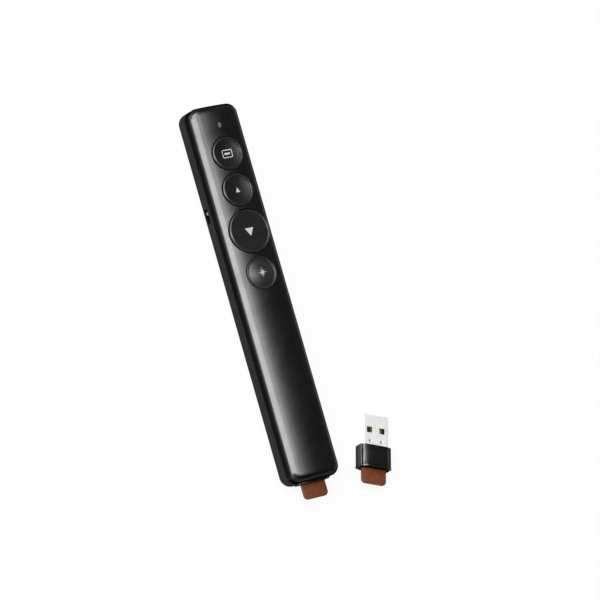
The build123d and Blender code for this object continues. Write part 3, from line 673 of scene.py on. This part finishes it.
def housing_section(y, grow, drop):
    """The housing across the plug: a pillowed face on both sides and two thinner flanks.

    Grow widens it all round, as at the end collar, and drop lowers both faces, as in a groove.
    """
    face = housing_half_height + grow - drop
    side = pillow_half_width + grow
    flank = flank_half_width + flank_growth * grow
    shoulder = arc((shoulder_x, shoulder_z), side - shoulder_x, face - shoulder_z, 90, 12, 10)
    edge = arc((flank - flank_corner, shoulder_z + grow), flank_corner, flank_corner, 90, 0, 3)
    quarter = shoulder + edge
    loop = [(x, z) for x, z in reversed(quarter)]
    loop += [(-x, z) for x, z in quarter]
    loop += [(-x, -z) for x, z in reversed(quarter)]
    loop += [(x, -z) for x, z in quarter]
    return [(x, y, z) for x, z in loop]


def housing(frame_matrix):
    """The housing as sections from the plug's root to its far end, with grooves across."""
    shape = bmesh.new()
    rings = [(0.0, 0, 0.18), (-0.12, 0, 0.05), (-0.3, 0, 0)]
    for middle in groove_middles:
        rings += [
            (middle + groove_half_top, 0, 0),
            (middle + groove_half_floor, 0, groove_depth),
            (middle - groove_half_floor, 0, groove_depth),
            (middle - groove_half_top, 0, 0),
        ]
    rings += [(-8.6, 0, 0), (-8.75, 0.2, 0), (-9.35, 0.2, 0), (-9.5, 0.12, 0)]
    ring_stack(shape, [housing_section(*ring) for ring in rings])
    return placed(shape, frame_matrix)


def plug_skin(frame_matrix):
    """The plug's bent sheet, with its windows cut out and two dimples pressed in each face."""
    flat_half_width = plug_half_width - plug_corner
    lines = [0.0, 1.0, window_inner, 2.05, 2.2, 2.4, dimple_x, 2.8, 3.0, 3.15]
    lines += [window_outer, 4.8, flat_half_width]
    face = [-x for x in reversed(lines[1:])] + lines
    corner_middle = (flat_half_width, plug_half_height - plug_corner)
    corner = arc(corner_middle, plug_corner, plug_corner, 90, 0, 5)[1:]
    loop = [(x, plug_half_height) for x in face] + corner + [(plug_half_width, 0.0)]
    loop += [(x, -z) for x, z in reversed(corner)]
    loop += [(-x, -z) for x, z in loop]
    stations = [-3.98, 0.6, 1.25, 1.4, 1.6, dimple_y, 2.0, 2.2, 2.35, 3.6]
    stations += [window_low, window_high, 10.5, tip_start, 12.95, 13.08]
    shape = bmesh.new()
    rings = []
    for y in stations:
        pinch = max(0.0, y - tip_start) * tip_slope
        ring = []
        for x, z in loop:
            dent = 0.0
            if abs(z) == plug_half_height:
                reach = math.hypot(abs(x) - dimple_x, y - dimple_y)
                dent = dimple_depth * max(0.0, 1 - (reach / dimple_radius) ** 2)
            shrink_x = (plug_half_width - pinch) / plug_half_width
            shrink_z = (plug_half_height - pinch - dent) / plug_half_height
            ring.append(shape.verts.new((x * shrink_x, y, z * shrink_z)))
        rings.append(ring)
    for low_y, low, high in zip(stations, rings, rings[1:]):
        for i in range(len(loop)):
            j = (i + 1) % len(loop)
            middle = (abs(loop[i][0]) + abs(loop[j][0])) / 2
            on_face = abs(loop[i][1]) == plug_half_height == abs(loop[j][1])
            in_window = window_inner < middle < window_outer and low_y == window_low
            if on_face and in_window:
                continue
            shape.faces.new((low[i], low[j], high[j], high[i]))
    shape.normal_update()
    bmesh.ops.recalc_face_normals(shape, faces=shape.faces)
    bmesh.ops.solidify(shape, geom=shape.faces[:], thickness=plug_sheet)
    return placed(shape, frame_matrix)


def shaded_dimple_floors(frame_matrix):
    """The floors of the pressed dimples, in darker steel as painted shade in the hollows."""
    profile = [(0.0, 2.03), (0.2, 2.05), (0.38, 2.13), (0.52, 2.262), (0.4, 2.1), (0.0, 1.98)]
    shape = bmesh.new()
    for x in (-dimple_x, dimple_x):
        for face in (1, -1):
            floor_profile = [(radius, face * height) for radius, height in profile]
            lathe(shape, floor_profile, (x, dimple_y), 20)
    return placed(shape, frame_matrix)


# The loose receiver lies on the edge of its housing and the tip of its plug.
lean = math.atan2(housing_half_height - plug_half_height, plug_length)
docked_root = (0, -69.8, 7.2)
loose_root = (34.5, -70.9, housing_half_height * math.cos(lean))
loose_turn = math.radians(-20.5)
receivers = (
    ("docked", receiver_frame(docked_root, 0.0, 0.0)),
    ("loose", receiver_frame(loose_root, loose_turn, lean)),
)
# The tab's layers as (height, inset): a core whose cut edge shows, and a face on both sides.
edge = [(-0.5, 0.06), (-0.36, 0.0), (0.36, 0.0), (0.5, 0.06)]
upper = [(0.44, 0.1), (0.62, 0.1), (0.74, 0.2), (0.79, 0.4)]
lower = [(-z, inset) for z, inset in reversed(upper)]
for label, base in receivers:
    body = f"{label}_receiver"
    piece(f"{label}_tab_core", slab(base, edge), body, "leather_edge", [f"{label}_pull_tab"])
    piece(f"{label}_tab_face", slab(base, upper), body, "leather", (), 60)
    piece(f"{label}_tab_back", slab(base, lower), body, "leather", (), 60)
    piece(f"{label}_shell", housing(base), body, "housing_plastic", [f"{label}_housing"], 35)
    piece(f"{label}_plug_skin", plug_skin(base), body, "plug_steel", [f"{label}_plug_shell"], 35)
    # The dimple floors' darker steel is painted shade in the hollows.
    piece(f"{label}_shaded_dimple_floors", shaded_dimple_floors(base), body, "screw_steel")


# ------------------------------------------------------------------ light and floor


def area_light(name, place, aim, size_x, size_y, power):
    data = bpy.data.lights.new(name, "AREA")
    data.shape = "RECTANGLE"
    data.size = size_x
    data.size_y = size_y
    data.energy = power
    made = bpy.data.objects.new(name, data)
    made.visible_camera = False
    bpy.context.scene.collection.objects.link(made)
    back = (Vector(place) - Vector(aim)).normalized()
    side = Vector((0, 1, 0)).cross(back).normalized()
    top = back.cross(side)
    made.matrix_world = Matrix(
        (
            (side.x, top.x, back.x, place[0]),
            (side.y, top.y, back.y, place[1]),
            (side.z, top.z, back.z, place[2]),
            (0, 0, 0, 1),
        )
    )


# One long soft box over the left side, from just past the vertical down to the floor's horizon.
# Its middle and half its span are angles from the vertical, seen from the part.
box_distance = 1.5
box_middle = math.radians(40)
box_half = math.radians(48)
area_light(
    "soft_box",
    place=(-box_distance * math.sin(box_middle), 0.17, box_distance * math.cos(box_middle)),
    aim=(0, 0, 0),
    size_x=2 * box_distance * math.tan(box_half),
    size_y=0.64,
    power=42.0,
)

# A small one behind, for the shoulders that turn away from the long one.
area_light(
    "back_box",
    place=(-0.37, 0.56, 0.68),
    aim=(0.03, -0.07, 0.0),
    size_x=0.85,
    size_y=0.3,
    power=5.0,
)

# The room: white walls that fade into a dim ceiling, by the height of the direction.
wall_height = 0.17
ceiling_height = 0.45
ceiling_tone = 0.02
world = bpy.data.worlds.new("world")
bpy.context.scene.world = world
world.use_nodes = True
tree = world.node_tree
tree.nodes.clear()
output = tree.nodes.new("ShaderNodeOutputWorld")
room = tree.nodes.new("ShaderNodeBackground")
direction = tree.nodes.new("ShaderNodeTexCoord")
height = tree.nodes.new("ShaderNodeSeparateXYZ")
fade = tree.nodes.new("ShaderNodeValToRGB")
walls, ceiling = fade.color_ramp.elements
walls.position = wall_height
walls.color = (1, 1, 1, 1)
ceiling.position = ceiling_height
ceiling.color = (ceiling_tone, ceiling_tone, ceiling_tone, 1)
tree.links.new(direction.outputs["Generated"], height.inputs[0])
tree.links.new(height.outputs["Z"], fade.inputs["Fac"])
tree.links.new(fade.outputs["Color"], room.inputs["Color"])
tree.links.new(room.outputs[0], output.inputs["Surface"])

# The floor lies a little under the part, so that no face shares its plane.
floor_half = 3.0
floor_gap = 0.0003
floor_mesh = bpy.data.meshes.new("floor")
corners = [(x * floor_half, y * floor_half, 0) for x, y in ((-1, -1), (1, -1), (1, 1), (-1, 1))]
floor_mesh.from_pydata(corners, [], [(0, 1, 2, 3)])
floor = bpy.data.objects.new("floor", floor_mesh)
floor.location.z = -floor_gap
bpy.context.scene.collection.objects.link(floor)

# Camera, transmission and glossy rays meet nearly white paper, all others a matte one.
glow_share = 0.92
paper = bpy.data.materials.new("paper")
paper.use_nodes = True
tree = paper.node_tree
tree.nodes.clear()
output = tree.nodes.new("ShaderNodeOutputMaterial")
matte = tree.nodes.new("ShaderNodeBsdfDiffuse")
matte.inputs["Color"].default_value = (0.85, 0.85, 0.85, 1)
glow = tree.nodes.new("ShaderNodeEmission")
glow.inputs["Strength"].default_value = 1.0
path = tree.nodes.new("ShaderNodeLightPath")
seen = tree.nodes.new("ShaderNodeMath")
seen.operation = "MAXIMUM"
clear = tree.nodes.new("ShaderNodeMath")
clear.operation = "MAXIMUM"
share = tree.nodes.new("ShaderNodeMapRange")
share.inputs["To Min"].default_value = 0.0
share.inputs["To Max"].default_value = glow_share
mix = tree.nodes.new("ShaderNodeMixShader")
tree.links.new(path.outputs["Is Camera Ray"], seen.inputs[0])
tree.links.new(path.outputs["Is Transmission Ray"], seen.inputs[1])
tree.links.new(seen.outputs[0], clear.inputs[0])
tree.links.new(path.outputs["Is Glossy Ray"], clear.inputs[1])
tree.links.new(clear.outputs[0], share.inputs["Value"])
tree.links.new(share.outputs[0], mix.inputs["Fac"])
tree.links.new(matte.outputs[0], mix.inputs[1])
tree.links.new(glow.outputs[0], mix.inputs[2])
tree.links.new(mix.outputs[0], output.inputs["Surface"])
floor_mesh.materials.append(paper)
